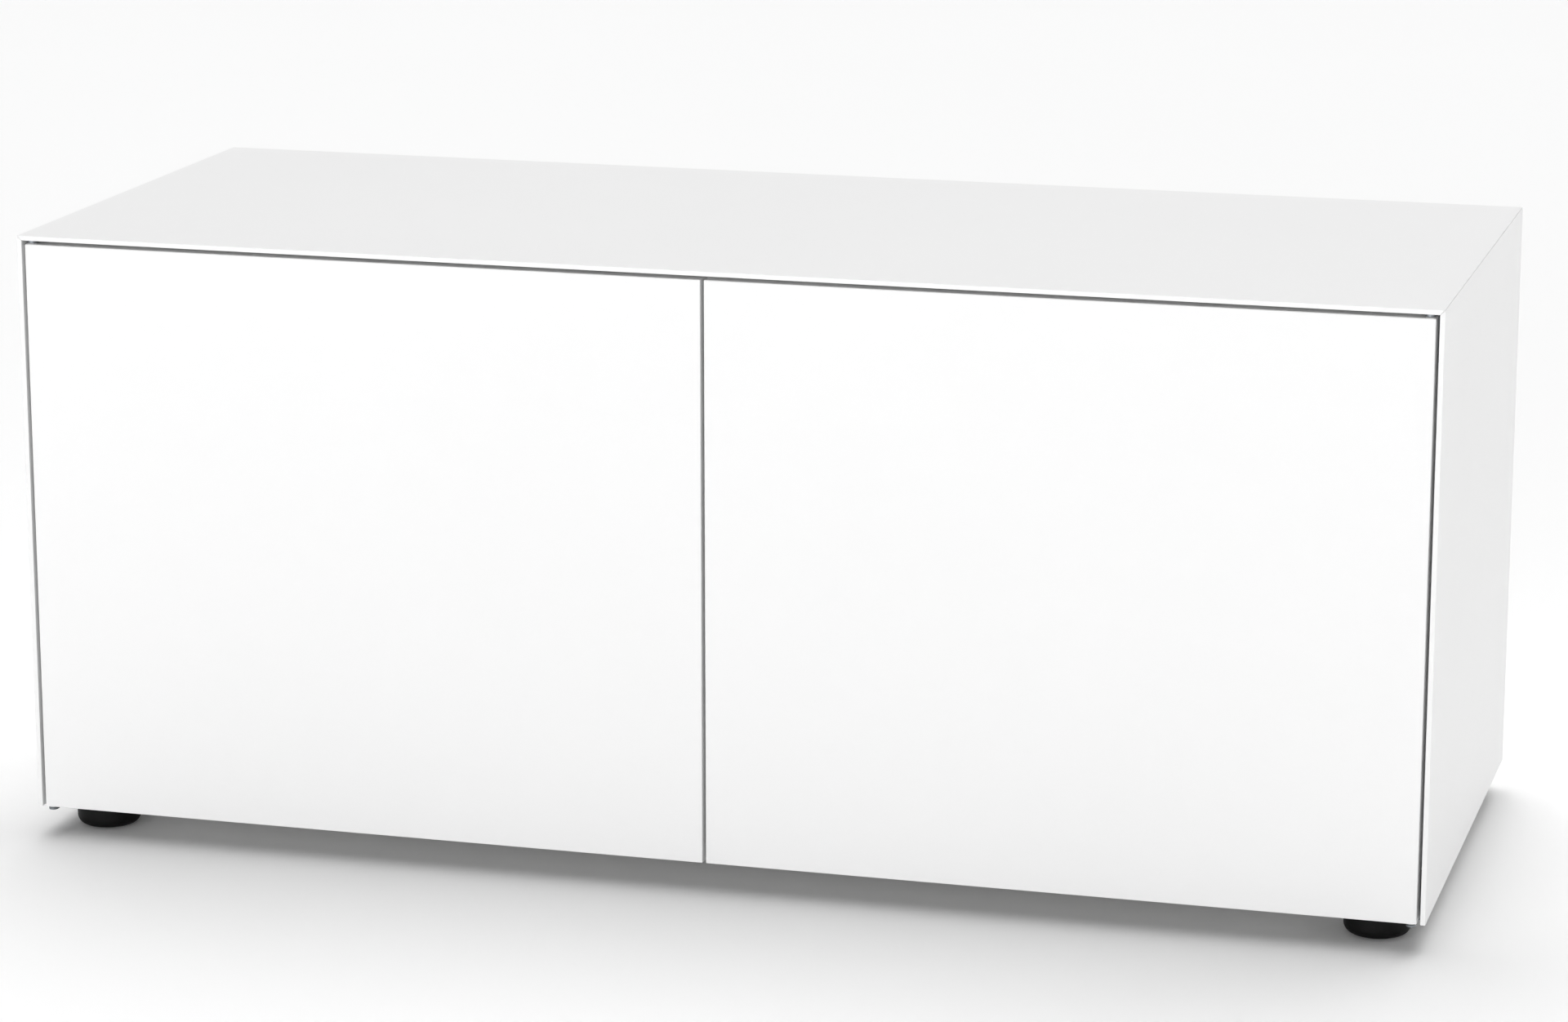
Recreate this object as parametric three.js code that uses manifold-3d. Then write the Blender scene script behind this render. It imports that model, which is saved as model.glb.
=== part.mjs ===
// Low lacquered cabinet with two handleless doors, for a television.
// Millimetres. +X runs along the front, +Y from the doors to the back, +Z up.
// The origin is on the floor, under the middle of the cabinet.
import * as THREE from 'three';
import { mergeVertices } from 'three/addons/utils/BufferGeometryUtils.js';
import Module from 'manifold-3d';

// Body
const WIDTH = 1200;
const DEPTH = 480;
const FOOT_HEIGHT = 25;
const BODY_HEIGHT = 500;
const BOARD = 16;            // thickness of every carcass board
const LIP = 4;               // front edge of the sides and the top, beside the doors
const JOINT = 0.1;           // each mitred face stands back this much, for the glue
const BACK_THICKNESS = 8;
const BACK_HOUSING = 8;      // how far the back panels run into the sides and the top
const FIT = 0.3;             // clearance between pieces that are put together

// Doors
const DOOR_THICKNESS = 19;
const DOOR_GAP = 3;
const DOOR_EASE = 0.8;       // broken edge all round the door's faces
const SHOULDER = 23;         // depth of the rebate that the doors close into

// Pivot hinges, one above and one below each door's outer corner
const PIVOT_INSET = 5;       // from the door's end and from its face to the pin
const PIN_RADIUS = 2;
const PIN_REACH = 9;
const BUSH_RADIUS = 3.4;
const BUSH_DEPTH = 10;
const BUSH_FLANGE = 4;
const BUSH_FLANGE_THICKNESS = 0.6;
const LEAF = 2;              // steel thickness of a pivot bracket
const LEAF_CLEARANCE = 1;    // between a bracket's leaf and the door
const LEAF_RADIUS = 4;
const BRACKET_HEIGHT = 42;
const LIP_CLEARANCE = 1;     // between a bracket's flange and the side's lip

// Push latches, catch plates and bumpers
const LATCH_WIDTH = 12;
const LATCH_HEIGHT = 16;
const LATCH_LENGTH = 64;
const LATCH_DROP = 60;       // below the underside of the top
const LATCH_SETBACK = 1;
const LATCH_EASE = 2;        // broken edge along the housing's open side
const PLUNGER_RADIUS = 3.2;
const PLUNGER_LENGTH = 58;
const MAGNET_RADIUS = 4.4;
const MAGNET_LENGTH = 2.4;
const CATCH_RADIUS = 6.5;
const CATCH_THICKNESS = 1.2;
const BUMPER_RADIUS = 3.2;
const BUMPER_OFFSET = 4.4;
const BUMPER_HEIGHTS = { lower: 70, upper: 490 };

// Shelves
const SHELF_Z = 275;         // underside of each shelf
const SHELF_SETBACK = 30;    // behind the rebate's shoulder
const CABLE_GAP = 42;        // between a shelf and the back panel
const SHELF_SIDE_GAP = 1.6;
const PEG_RADIUS = 2.5;
const PEG_SEAT = 6.5;
const PEG_REACH = 8;
const PEG_COLLAR = 4.5;
const PEG_COLLAR_THICKNESS = 1;
const PEG_FRONT = 90;        // from the front of the cabinet
const PEG_REAR = 400;
const PEG_PITCH = 32;
const PEG_ROWS = [-1, 0, 1];

// Cable outlets
const OUTLET_RADIUS = 30;
const OUTLET_Z = 150;
const GROMMET_FLANGE = 35;
const GROMMET_BORE = 26;
const GROMMET_FLANGE_THICKNESS = 2.5;

// Feet
const FOOT_INSET_X = 45;
const FOOT_INSET_Y = 48;
const FOOT_RADIUS = 27.5;
const FOOT_ROUND = 8;
const FOOT_LIFT = 1;         // underside of the plastic above the floor
const PAD_RADIUS = 18;
const PAD_THICKNESS = 3;
const STUD_RADIUS = 3.9;
const STUD_BASE = 12;
const STUD_TOP = 39;
const NUT_RADIUS = 6;
const NUT_FLANGE = 9.5;
const NUT_FLANGE_THICKNESS = 1.6;
const NUT_TOP = 40;

const LEFT = -WIDTH / 2;
const FRONT = -DEPTH / 2;
const BACK = DEPTH / 2;
const TOP = FOOT_HEIGHT + BODY_HEIGHT;
const CEILING = TOP - BOARD;
const BASE_TOP = FOOT_HEIGHT + BOARD;
const DOOR_TOP = TOP - LIP - DOOR_GAP;
const DOOR_WIDTH = (WIDTH - 2 * LIP - 3 * DOOR_GAP) / 2;
const BACK_FACE = BACK - BACK_THICKNESS;
const SHOULDER_Y = FRONT + SHOULDER;
const ROUND_STEPS = 20;
const SMALL_STEPS = 12;
const ARC_STEPS = 5;
const OVERCUT = 1;           // how far a cutting tool runs past the face it enters
const WELD_REACH = 1e-4;

const wasm = await Module();
wasm.setup();

const cabinet = new THREE.Group();

function material(color, roughness, metalness) {
  return { color, roughness, metalness };
}

const lacquer = material('#f2f2f0', 0.55, 0);
const board = material('#ecebe7', 0.6, 0);
const zinc = material('#b9bcc0', 0.35, 0.9);
const blackPlastic = material('#141414', 0.5, 0);
const greyPlastic = material('#c9cacb', 0.5, 0);
const rubber = material('#222222', 0.9, 0);
const silicone = material('#d9dcdd', 0.3, 0);

// Geometry with only positions, its corners shared, without triangles that have closed up.
function weld(geometry) {
  const bare = geometry.clone();
  bare.deleteAttribute('normal');
  bare.deleteAttribute('uv');
  const merged = mergeVertices(bare, WELD_REACH);
  const kept = [];
  const index = merged.index.array;
  for (let i = 0; i < index.length; i += 3) {
    const [a, b, c] = [index[i], index[i + 1], index[i + 2]];
    if (a !== b && b !== c && c !== a) {
      kept.push(a, b, c);
    }
  }
  merged.setIndex(kept);
  return merged;
}

function toManifold(geometry) {
  const merged = weld(geometry);
  return new wasm.Manifold(new wasm.Mesh({
    numProp: 3,
    vertProperties: new Float32Array(merged.attributes.position.array),
    triVerts: new Uint32Array(merged.index.array),
  }));
}

function fromManifold(solid) {
  const mesh = solid.getMesh();
  const geometry = new THREE.BufferGeometry();
  geometry.setAttribute('position', new THREE.BufferAttribute(mesh.vertProperties, 3));
  geometry.setIndex(new THREE.BufferAttribute(mesh.triVerts, 1));
  return geometry;
}

function cut(geometry, tools) {
  let solid = toManifold(geometry);
  for (const tool of tools) {
    solid = solid.subtract(toManifold(tool));
  }
  return fromManifold(solid);
}

function join(geometries) {
  let solid = toManifold(geometries[0]);
  for (const geometry of geometries.slice(1)) {
    solid = solid.add(toManifold(geometry));
  }
  return fromManifold(solid);
}

function box([x0, x1], [y0, y1], [z0, z1]) {
  const geometry = new THREE.BoxGeometry(x1 - x0, y1 - y0, z1 - z0);
  return geometry.translate((x0 + x1) / 2, (y0 + y1) / 2, (z0 + z1) / 2);
}

function extrude(points, depth, options = {}) {
  const shape = new THREE.Shape(points.map(([x, y]) => new THREE.Vector2(x, y)));
  return new THREE.ExtrudeGeometry(shape, { depth, bevelEnabled: false, ...options });
}

// Outline in plan, run upwards from z0 to z1.
function upright(points, z0, z1) {
  return extrude(points, z1 - z0).translate(0, 0, z0);
}

// Outline seen from the end, as [y, z] points, run along X from x0 to x1.
function lengthways(points, x0, x1) {
  const turn = new THREE.Matrix4().makeBasis(
    new THREE.Vector3(0, 1, 0),
    new THREE.Vector3(0, 0, 1),
    new THREE.Vector3(1, 0, 0),
  );
  return extrude(points, x1 - x0).applyMatrix4(turn).translate(x0, 0, 0);
}

function cylinder(radius, z0, z1, steps = ROUND_STEPS) {
  const geometry = new THREE.CylinderGeometry(radius, radius, z1 - z0, steps);
  return geometry.rotateX(Math.PI / 2).translate(0, 0, (z0 + z1) / 2);
}

// Profile as [radius, z] points from the lower end on the axis to the upper end, or closed on itself.
function turned(points, steps = ROUND_STEPS) {
  const profile = points.map(([r, z]) => new THREE.Vector2(r, z));
  return weld(new THREE.LatheGeometry(profile, steps).rotateX(Math.PI / 2));
}

function add(name, geometry, finish, parent = cabinet) {
  const mesh = new THREE.Mesh(geometry, new THREE.MeshStandardMaterial(finish));
  mesh.name = name;
  parent.add(mesh);
  return mesh;
}

function group(x, y, z) {
  const place = new THREE.Group();
  place.position.set(x, y, z);
  cabinet.add(place);
  return place;
}

const SIDES = [
  { side: 'left', sign: -1 },
  { side: 'right', sign: 1 },
];

// Sorts two limits, because a mirrored range comes out backwards.
function span(a, b) {
  return [Math.min(a, b), Math.max(a, b)];
}

// Holes for the shelf pegs, drilled into a face at x, towards inward = +1 or -1.
function pegHoles(x, inward) {
  const holes = [];
  for (const y of [PEG_FRONT, PEG_REAR]) {
    for (const row of PEG_ROWS) {
      const hole = cylinder(PEG_RADIUS + FIT, -OVERCUT, PEG_SEAT + 2 * FIT, SMALL_STEPS);
      hole.rotateY(inward * Math.PI / 2);
      const z = SHELF_Z - FIT - PEG_RADIUS + row * PEG_PITCH;
      holes.push(hole.translate(x, FRONT + y, z));
    }
  }
  return holes;
}

// The top: rebated along the front for the doors and along the back for the back panels,
// with both ends mitred to the sides.
function topPanel() {
  const profile = [
    [FRONT, TOP - LIP],
    [SHOULDER_Y, TOP - LIP],
    [SHOULDER_Y, CEILING],
    [BACK_FACE - FIT, CEILING],
    [BACK_FACE - FIT, TOP - BACK_HOUSING],
    [BACK, TOP - BACK_HOUSING],
    [BACK, TOP],
    [FRONT, TOP],
  ];
  const blank = lengthways(profile, LEFT, -LEFT);
  const over = 2 * BOARD;
  const mitres = SIDES.map(({ sign }) => {
    const corner = sign * WIDTH / 2;
    const outline = [
      [corner - sign * JOINT, TOP],
      [corner - sign * (JOINT + over), TOP - over],
      [corner, TOP - over],
      [corner + sign * over, TOP - over],
      [corner + sign * over, TOP + over],
      [corner - sign * JOINT + sign * over, TOP + over],
    ];
    const points = sign > 0 ? outline : [...outline].reverse();
    return extrude(points, 2 * DEPTH).rotateX(Math.PI / 2).translate(0, DEPTH, 0);
  });
  return cut(blank, mitres);
}

// A side: rebated like the top, its upper end mitred, with peg holes inside.
function sidePanel(sign) {
  const x = (inset) => sign * (WIDTH / 2 - inset);
  const outline = [
    [x(0), FRONT],
    [x(LIP), FRONT],
    [x(LIP), SHOULDER_Y],
    [x(BOARD), SHOULDER_Y],
    [x(BOARD), BACK_FACE - FIT],
    [x(BACK_HOUSING), BACK_FACE - FIT],
    [x(BACK_HOUSING), BACK],
    [x(0), BACK],
  ];
  const points = sign < 0 ? outline : [...outline].reverse();
  const over = 2 * BOARD;
  const wedge = [
    [x(-over), TOP - JOINT + over],
    [x(-over), TOP - JOINT],
    [x(0), TOP - JOINT],
    [x(over), TOP - JOINT - over],
    [x(over), TOP - JOINT + over],
  ];
  const wedgePoints = sign < 0 ? wedge : [...wedge].reverse();
  const mitre = extrude(wedgePoints, 2 * DEPTH).rotateX(Math.PI / 2).translate(0, DEPTH, 0);
  return cut(upright(points, FOOT_HEIGHT, TOP), [mitre, ...pegHoles(x(BOARD), sign)]);
}

// The bottom: between the sides, behind the doors, bored for the nuts of the feet.
function bottomPanel() {
  const inner = WIDTH / 2 - BOARD;
  const blank = box([-inner, inner], [SHOULDER_Y, BACK_FACE - FIT], [FOOT_HEIGHT, BASE_TOP]);
  const bores = [];
  for (const { x, y } of footPlaces()) {
    const start = FOOT_HEIGHT - OVERCUT;
    const bore = cylinder(NUT_RADIUS + FIT, start, NUT_TOP + FIT, SMALL_STEPS);
    const recess = cylinder(NUT_FLANGE + FIT, start, FOOT_HEIGHT + NUT_FLANGE_THICKNESS + FIT);
    bores.push(bore.translate(x, y, 0), recess.translate(x, y, 0));
  }
  return cut(blank, bores);
}

function centreDivider() {
  const half = BOARD / 2;
  const blank = box([-half, half], [SHOULDER_Y, BACK_FACE - FIT], [BASE_TOP, CEILING]);
  return cut(blank, [...pegHoles(-half, 1), ...pegHoles(half, -1)]);
}

// Half of the back, with a round cable outlet.
function backPanel(sign) {
  const outer = WIDTH / 2 - BACK_HOUSING - FIT;
  const limits = span(sign * FIT, sign * outer);
  const blank = box(limits, [BACK_FACE, BACK], [FOOT_HEIGHT, TOP - BACK_HOUSING - FIT]);
  const outlet = cylinder(OUTLET_RADIUS + FIT, -BACK_THICKNESS, 2 * BACK_THICKNESS);
  outlet.rotateX(Math.PI / 2).translate(sign * outletX(), BACK_FACE + BACK_THICKNESS, OUTLET_Z);
  return cut(blank, [outlet]);
}

function outletX() {
  return WIDTH / 4;
}

// A moulded ring that lines the outlet. It is pushed in from inside, so its flange is inside too.
function grommet() {
  const flangeBase = BACK_THICKNESS + FIT;
  const flangeTop = flangeBase + GROMMET_FLANGE_THICKNESS;
  return turned([
    [GROMMET_BORE, 0],
    [OUTLET_RADIUS, 0],
    [OUTLET_RADIUS, flangeBase],
    [GROMMET_FLANGE, flangeBase],
    [GROMMET_FLANGE, flangeTop],
    [GROMMET_BORE, flangeTop],
    [GROMMET_BORE, 0],
  ]);
}

function shelf(sign) {
  const inner = BOARD / 2 + SHELF_SIDE_GAP;
  const outer = WIDTH / 2 - BOARD - SHELF_SIDE_GAP;
  const depth = [SHOULDER_Y + SHELF_SETBACK, BACK_FACE - CABLE_GAP];
  return box(span(sign * inner, sign * outer), depth, [SHELF_Z, SHELF_Z + BOARD]);
}

// Peg with a collar. It points along +Z here, with the collar's outer face at zero.
function peg() {
  return turned([
    [0, -PEG_SEAT],
    [PEG_RADIUS, -PEG_SEAT],
    [PEG_RADIUS, FIT],
    [PEG_COLLAR, FIT],
    [PEG_COLLAR, FIT + PEG_COLLAR_THICKNESS],
    [PEG_RADIUS, FIT + PEG_COLLAR_THICKNESS],
    [PEG_RADIUS, PEG_REACH],
    [0, PEG_REACH],
  ], SMALL_STEPS);
}

// A door: a plain slab with broken edges, bored above and below for the pivot bushes.
function door(sign) {
  const height = DOOR_TOP - FOOT_HEIGHT;
  const inner = [
    [DOOR_EASE, DOOR_EASE],
    [DOOR_WIDTH - DOOR_EASE, DOOR_EASE],
    [DOOR_WIDTH - DOOR_EASE, height - DOOR_EASE],
    [DOOR_EASE, height - DOOR_EASE],
  ];
  const slab = extrude(inner, DOOR_THICKNESS - 2 * DOOR_EASE, {
    bevelEnabled: true,
    bevelSize: DOOR_EASE,
    bevelThickness: DOOR_EASE,
    bevelSegments: 1,
  });
  slab.rotateX(Math.PI / 2);
  const x0 = sign < 0 ? LEFT + LIP + DOOR_GAP : DOOR_GAP / 2;
  slab.translate(x0, FRONT + DOOR_THICKNESS - DOOR_EASE, FOOT_HEIGHT);
  const pivot = pivotPlace(sign);
  const bores = [
    cylinder(BUSH_RADIUS + FIT, FOOT_HEIGHT - OVERCUT, FOOT_HEIGHT + BUSH_DEPTH + FIT),
    cylinder(BUSH_RADIUS + FIT, DOOR_TOP - BUSH_DEPTH - FIT, DOOR_TOP + OVERCUT),
  ].map((bore) => bore.translate(pivot.x, pivot.y, 0));
  return cut(slab, bores);
}

function pivotPlace(sign) {
  return {
    x: sign * (WIDTH / 2 - LIP - DOOR_GAP - PIVOT_INSET),
    y: FRONT + PIVOT_INSET,
  };
}

// Bush for a pivot, flange down, with the door's edge at zero.
function pivotBush() {
  const bore = PIN_RADIUS + FIT;
  return turned([
    [bore, -BUSH_FLANGE_THICKNESS],
    [BUSH_FLANGE, -BUSH_FLANGE_THICKNESS],
    [BUSH_FLANGE, 0],
    [BUSH_RADIUS, 0],
    [BUSH_RADIUS, BUSH_DEPTH],
    [bore, BUSH_DEPTH],
    [bore, -BUSH_FLANGE_THICKNESS],
  ], SMALL_STEPS);
}

// Pin, with its lower end at the leaf's outer face.
function pivotPin() {
  return cylinder(PIN_RADIUS, FIT, LEAF + LEAF_CLEARANCE + PIN_REACH, SMALL_STEPS);
}

// Bent bracket of zinc plated steel for the pivot below a door. Its leaf's outer face is at zero,
// the pin's axis is the origin and the flange stands against the shoulder of the side.
function pivotBracket(sign) {
  const flangeBack = SHOULDER - PIVOT_INSET;
  const flangeFront = flangeBack - LEAF;
  const outerEdge = PIVOT_INSET + DOOR_GAP - LIP_CLEARANCE;
  const innerEdge = PIVOT_INSET + DOOR_GAP + LIP - BOARD;
  const shape = new THREE.Shape();
  shape.moveTo(LEAF_RADIUS, 0);
  shape.lineTo(LEAF_RADIUS, flangeBack);
  shape.lineTo(-LEAF_RADIUS, flangeBack);
  shape.lineTo(-LEAF_RADIUS, 0);
  shape.absarc(0, 0, LEAF_RADIUS, Math.PI, 2 * Math.PI, false);
  const settings = { depth: LEAF, bevelEnabled: false, curveSegments: SMALL_STEPS };
  const leaf = new THREE.ExtrudeGeometry(shape, settings);
  const width = span(sign * outerEdge, sign * innerEdge);
  const flange = box(width, [flangeFront, flangeBack], [0, BRACKET_HEIGHT]);
  const pinHole = cylinder(PIN_RADIUS + FIT / 2, -OVERCUT, LEAF + OVERCUT, SMALL_STEPS);
  return cut(join([leaf, flange]), [pinHole]);
}

function footPlaces() {
  const places = [];
  for (const [row, y] of [['front', FRONT + FOOT_INSET_Y], ['rear', BACK - FOOT_INSET_Y]]) {
    for (const { side, sign } of SIDES) {
      places.push({ name: `${row}_${side}`, x: sign * (WIDTH / 2 - FOOT_INSET_X), y });
    }
  }
  return places;
}

// Moulded foot with a rounded lower edge, hollow below for its pad and above for its stud.
function foot() {
  const points = [
    [0, PAD_THICKNESS + FIT],
    [PAD_RADIUS + FIT, PAD_THICKNESS + FIT],
    [PAD_RADIUS + FIT, FOOT_LIFT],
  ];
  for (let i = 0; i <= ARC_STEPS; i += 1) {
    const angle = (i / ARC_STEPS) * Math.PI / 2;
    points.push([
      FOOT_RADIUS - FOOT_ROUND + FOOT_ROUND * Math.sin(angle),
      FOOT_LIFT + FOOT_ROUND * (1 - Math.cos(angle)),
    ]);
  }
  points.push([FOOT_RADIUS, FOOT_HEIGHT]);
  points.push([STUD_RADIUS + FIT, FOOT_HEIGHT]);
  points.push([STUD_RADIUS + FIT, STUD_BASE - FIT]);
  points.push([0, STUD_BASE - FIT]);
  return turned(points);
}

function footNut() {
  const bore = STUD_RADIUS + FIT;
  return turned([
    [bore, FOOT_HEIGHT + FIT],
    [NUT_FLANGE, FOOT_HEIGHT + FIT],
    [NUT_FLANGE, FOOT_HEIGHT + NUT_FLANGE_THICKNESS],
    [NUT_RADIUS, FOOT_HEIGHT + NUT_FLANGE_THICKNESS],
    [NUT_RADIUS, NUT_TOP],
    [bore, NUT_TOP],
    [bore, FOOT_HEIGHT + FIT],
  ], SMALL_STEPS);
}

// Latch housing, open in front for its plunger. The plunger's axis is Z here and the front is at zero.
function latchHousing() {
  const half = LATCH_WIDTH / 2;
  const high = LATCH_HEIGHT / 2;
  const outline = [
    [-half, -high],
    [half - LATCH_EASE, -high],
    [half, -high + LATCH_EASE],
    [half, high - LATCH_EASE],
    [half - LATCH_EASE, high],
    [-half, high],
  ];
  const bottom = LATCH_LENGTH - PLUNGER_LENGTH - FIT;
  const bore = cylinder(PLUNGER_RADIUS + FIT, bottom, LATCH_LENGTH + OVERCUT, SMALL_STEPS);
  return cut(extrude(outline, LATCH_LENGTH), [bore]);
}

// Plunger with its magnet head. The housing's front is at zero and the tip points along +Z.
function latchPlunger() {
  const tip = LATCH_SETBACK + SHOULDER - DOOR_THICKNESS - CATCH_THICKNESS - FIT;
  return turned([
    [0, -PLUNGER_LENGTH + FIT],
    [PLUNGER_RADIUS, -PLUNGER_LENGTH + FIT],
    [PLUNGER_RADIUS, tip - MAGNET_LENGTH],
    [MAGNET_RADIUS, tip - MAGNET_LENGTH],
    [MAGNET_RADIUS, tip],
    [0, tip],
  ], SMALL_STEPS);
}

add('top_panel', topPanel(), lacquer);
add('bottom_panel', bottomPanel(), board);
add('centre_divider', centreDivider(), board);

for (const { side, sign } of SIDES) {
  add(`${side}_side_panel`, sidePanel(sign), lacquer);
  add(`${side}_back_panel`, backPanel(sign), board);
  add(`${side}_shelf`, shelf(sign), board);
  add(`${side}_door`, door(sign), lacquer);

  const outlet = group(sign * outletX(), BACK, OUTLET_Z);
  outlet.rotation.x = Math.PI / 2;
  add(`${side}_cable_grommet`, grommet(), greyPlastic, outlet);

  const pegFaces = [
    ['outer', sign * (WIDTH / 2 - BOARD), -sign],
    ['inner', sign * BOARD / 2, sign],
  ];
  for (const [face, x, inward] of pegFaces) {
    for (const [row, y] of [['front', PEG_FRONT], ['rear', PEG_REAR]]) {
      const place = group(x, FRONT + y, SHELF_Z - FIT - PEG_RADIUS);
      place.rotation.y = inward * Math.PI / 2;
      add(`${side}_shelf_peg_${face}_${row}`, peg(), zinc, place);
    }
  }

  const pivot = pivotPlace(sign);
  const ends = [
    { end: 'lower', z: FOOT_HEIGHT, flip: 0 },
    { end: 'upper', z: DOOR_TOP, flip: Math.PI },
  ];
  for (const { end, z, flip } of ends) {
    const up = flip === 0 ? 1 : -1;
    const edge = group(pivot.x, pivot.y, z);
    edge.rotation.y = flip;
    add(`${side}_${end}_pivot_bush`, pivotBush(), greyPlastic, edge);
    const leaf = group(pivot.x, pivot.y, z - up * (LEAF + LEAF_CLEARANCE));
    leaf.rotation.y = flip;
    add(`${side}_${end}_pivot_bracket`, pivotBracket(up * sign), zinc, leaf);
    add(`${side}_${end}_pivot_pin`, pivotPin(), zinc, leaf);
  }

  const latchX = sign * (BOARD / 2 + LATCH_WIDTH / 2);
  const latchZ = CEILING - LATCH_DROP;
  const latchFront = SHOULDER_Y + LATCH_SETBACK;
  const housing = group(latchX, latchFront + LATCH_LENGTH, latchZ);
  housing.rotation.set(Math.PI / 2, 0, sign > 0 ? 0 : Math.PI, 'YXZ');
  add(`${side}_latch_housing`, latchHousing(), greyPlastic, housing);
  const nose = group(latchX, latchFront, latchZ);
  nose.rotation.x = Math.PI / 2;
  add(`${side}_latch_plunger`, latchPlunger(), blackPlastic, nose);
  const catchPlate = cylinder(CATCH_RADIUS, 0, CATCH_THICKNESS).rotateX(-Math.PI / 2);
  add(`${side}_catch_plate`, catchPlate, zinc, group(latchX, FRONT + DOOR_THICKNESS, latchZ));

  for (const [level, z] of Object.entries(BUMPER_HEIGHTS)) {
    const thickness = SHOULDER - DOOR_THICKNESS - FIT;
    const bumper = cylinder(BUMPER_RADIUS, 0, thickness, SMALL_STEPS).rotateX(Math.PI / 2);
    add(`${side}_${level}_bumper`, bumper, silicone, group(sign * BUMPER_OFFSET, SHOULDER_Y, z));
  }
}

for (const { name, x, y } of footPlaces()) {
  const place = group(x, y, 0);
  add(`${name}_foot`, foot(), blackPlastic, place);
  add(`${name}_foot_pad`, cylinder(PAD_RADIUS, 0, PAD_THICKNESS), rubber, place);
  add(`${name}_foot_stud`, cylinder(STUD_RADIUS, STUD_BASE, STUD_TOP, SMALL_STEPS), zinc, place);
  add(`${name}_foot_nut`, footNut(), zinc, place);
}

export default cabinet;
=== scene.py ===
# Low white cabinet for a television, with two doors that have no handles.
# The file follows the cabinet as it is put together, from its boards to its feet.
import math
import bmesh
import bpy
from mathutils import Matrix, Vector


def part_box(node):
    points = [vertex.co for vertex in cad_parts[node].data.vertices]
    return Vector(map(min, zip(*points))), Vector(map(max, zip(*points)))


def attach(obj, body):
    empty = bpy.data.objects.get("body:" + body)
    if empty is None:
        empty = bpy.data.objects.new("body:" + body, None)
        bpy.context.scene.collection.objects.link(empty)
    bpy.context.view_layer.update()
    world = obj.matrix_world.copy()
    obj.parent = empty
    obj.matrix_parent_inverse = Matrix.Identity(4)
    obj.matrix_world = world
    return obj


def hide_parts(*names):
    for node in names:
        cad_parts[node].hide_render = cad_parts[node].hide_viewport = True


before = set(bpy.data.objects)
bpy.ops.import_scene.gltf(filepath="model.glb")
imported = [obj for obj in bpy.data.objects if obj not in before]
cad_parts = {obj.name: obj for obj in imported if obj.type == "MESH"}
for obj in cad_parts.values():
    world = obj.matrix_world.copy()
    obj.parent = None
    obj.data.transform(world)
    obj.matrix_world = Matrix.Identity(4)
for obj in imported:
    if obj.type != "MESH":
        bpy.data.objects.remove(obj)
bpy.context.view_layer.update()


# ---------------------------------------------------------------------------
# Lacquered boards: the top and the two sides.
# Medium density fibreboard, mitred where they meet, sprayed with a satin white lacquer after
# the edges are broken with fine paper.
BOARD_EASE = 0.0004
BOARD_EASE_STEPS = 2
FLAT_ANGLE = math.radians(1)
SHARP_ANGLE = math.radians(30)
ORANGE_PEEL = 0.0022          # width of one ripple of the sprayed film
CLOUD = 0.35                  # width of the faint changes of tone across a board
WIPE = CLOUD / 9              # width of the changes of gloss left by wiping it down
DOUBLE_REACH = 1e-6           # points nearer than this are one corner


def linear(text):
    """A hex colour as seen on a screen, as the linear colour that shaders use."""
    channels = [int(text[i:i + 2], 16) / 255 for i in (1, 3, 5)]
    return [c / 12.92 if c <= 0.04045 else ((c + 0.055) / 1.055) ** 2.4 for c in channels] + [1.0]


def node(tree, kind, settings=None, links=None):
    """Adds a node. Settings are its properties or sockets, links are sockets fed from others."""
    made = tree.nodes.new(kind)
    for name, value in (settings or {}).items():
        if isinstance(name, str) and hasattr(made, name) and name not in made.inputs:
            setattr(made, name, value)
        else:
            made.inputs[name].default_value = value
    for name, source in (links or {}).items():
        tree.links.new(source, made.inputs[name])
    return made


def new_material(name):
    """A material with only a shader and an output, and the object's coordinates."""
    made = bpy.data.materials.new(name)
    made.use_nodes = True
    tree = made.node_tree
    tree.nodes.clear()
    place = node(tree, "ShaderNodeTexCoord").outputs["Object"]
    shader = node(tree, "ShaderNodeBsdfPrincipled")
    node(tree, "ShaderNodeOutputMaterial", links={"Surface": shader.outputs["BSDF"]})
    return made, tree, place, shader


def satin_white_lacquer():
    """Sprayed satin lacquer: nearly even white, a soft sheen and a fine orange peel."""
    made, tree, place, shader = new_material("satin_white_lacquer")
    cloud = node(tree, "ShaderNodeTexNoise", {"Scale": 1 / CLOUD, "Detail": 3.0}, {"Vector": place})
    tone = node(tree, "ShaderNodeMix", {"data_type": "RGBA", 6: linear("#eeeeee"), 7: linear("#f1f1f1")},
                {0: cloud.outputs["Fac"]})
    tree.links.new(tone.outputs[2], shader.inputs["Base Color"])
    wiped = node(tree, "ShaderNodeTexNoise", {"Scale": 1 / WIPE, "Detail": 4.0}, {"Vector": place})
    gloss = node(tree, "ShaderNodeMapRange", {"To Min": 0.36, "To Max": 0.46},
                 {"Value": wiped.outputs["Fac"]})
    tree.links.new(gloss.outputs["Result"], shader.inputs["Roughness"])
    peel = node(tree, "ShaderNodeTexNoise", {"Scale": 1 / ORANGE_PEEL, "Detail": 2.0}, {"Vector": place})
    bump = node(tree, "ShaderNodeBump", {"Strength": 0.12, "Distance": 0.00005},
                {"Height": peel.outputs["Fac"]})
    tree.links.new(bump.outputs["Normal"], shader.inputs["Normal"])
    shader.inputs["IOR"].default_value = 1.47
    return made


def plain_mesh(name, mesh):
    """An object made from a bmesh, at the origin."""
    data = bpy.data.meshes.new(name)
    mesh.to_mesh(data)
    mesh.free()
    made = bpy.data.objects.new(name, data)
    bpy.context.scene.collection.objects.link(made)
    return made


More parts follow.
